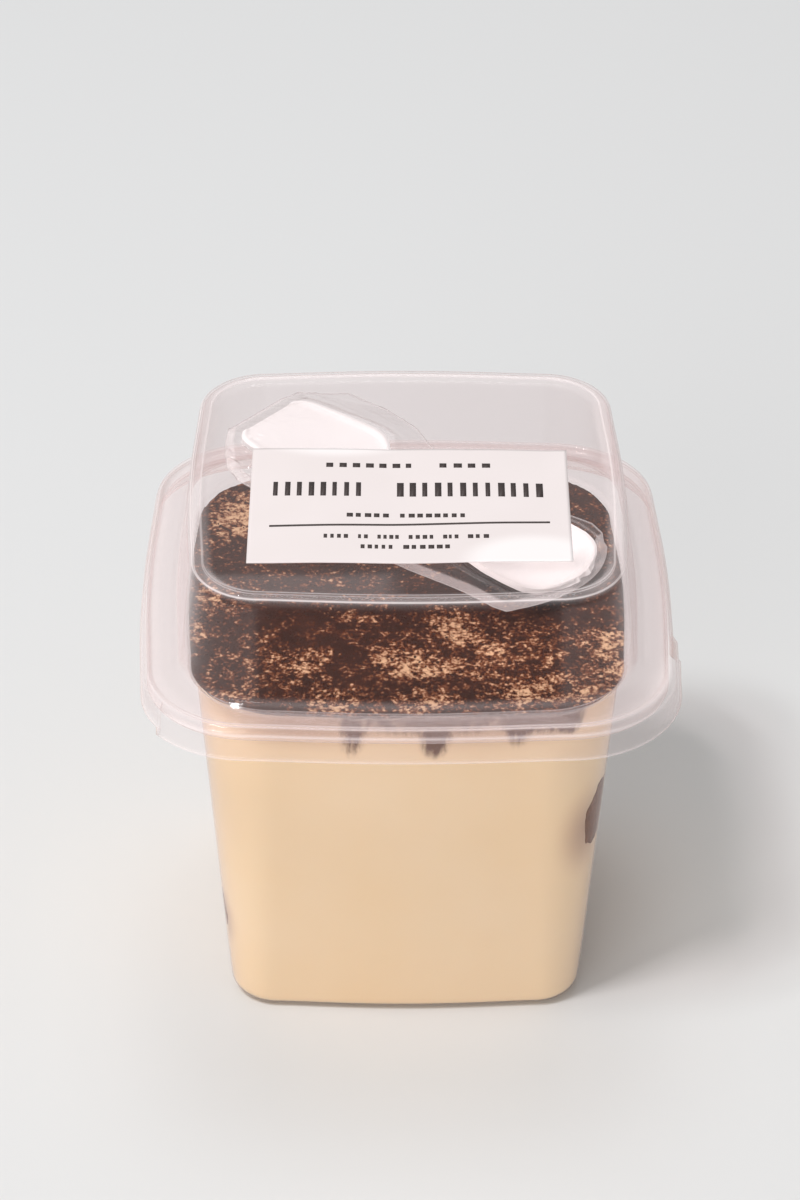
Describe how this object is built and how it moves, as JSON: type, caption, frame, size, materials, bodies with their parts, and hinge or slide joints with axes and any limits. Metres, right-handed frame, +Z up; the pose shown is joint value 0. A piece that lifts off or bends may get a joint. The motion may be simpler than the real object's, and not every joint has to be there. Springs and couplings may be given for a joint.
{
  "type": "boxed tiramisu dessert",
  "caption": "Tiramisu in a clear tapered plastic box with a clip-on domed lid: cocoa-dusted cream inside, a sleeved spoon lying under the dome, a paper label on top.",
  "frame": {"origin": "under the middle of the bounding box, on the surface that the cup stands on", "axes": "+Z up, -Y is the front, where the label's lower edge and the lid's opening lip are, +X to the right seen from the front"},
  "size_m": [0.1032, 0.1036, 0.1015],
  "materials": {
    "clear_plastic": "clear thermoformed sheet, smooth and glossy, with a faint warm tint",
    "cream": "soft pale caramel-coloured dairy cream, satin where it lies against the wall",
    "cocoa": "dry cocoa powder, sifted unevenly, cream showing through in specks",
    "sponge": "coffee-soaked sponge crumb, moist and dark",
    "white_plastic": "opaque white injection-moulded plastic, semi-gloss",
    "film": "thin clear wrapping film, creased and glossy",
    "label_paper": "smooth coated white label paper, printed in near-black with plain bars and a thin rule"
  },
  "bodies": {
    "root": {"cup": "clear_plastic", "lid": "clear_plastic", "cream": "cream", "cocoa": "cocoa", "sponge_right": "sponge", "sponge_left": "sponge", "spoon": "white_plastic", "sleeve": "film", "label": "label_paper"}
  },
  "joints": []
}
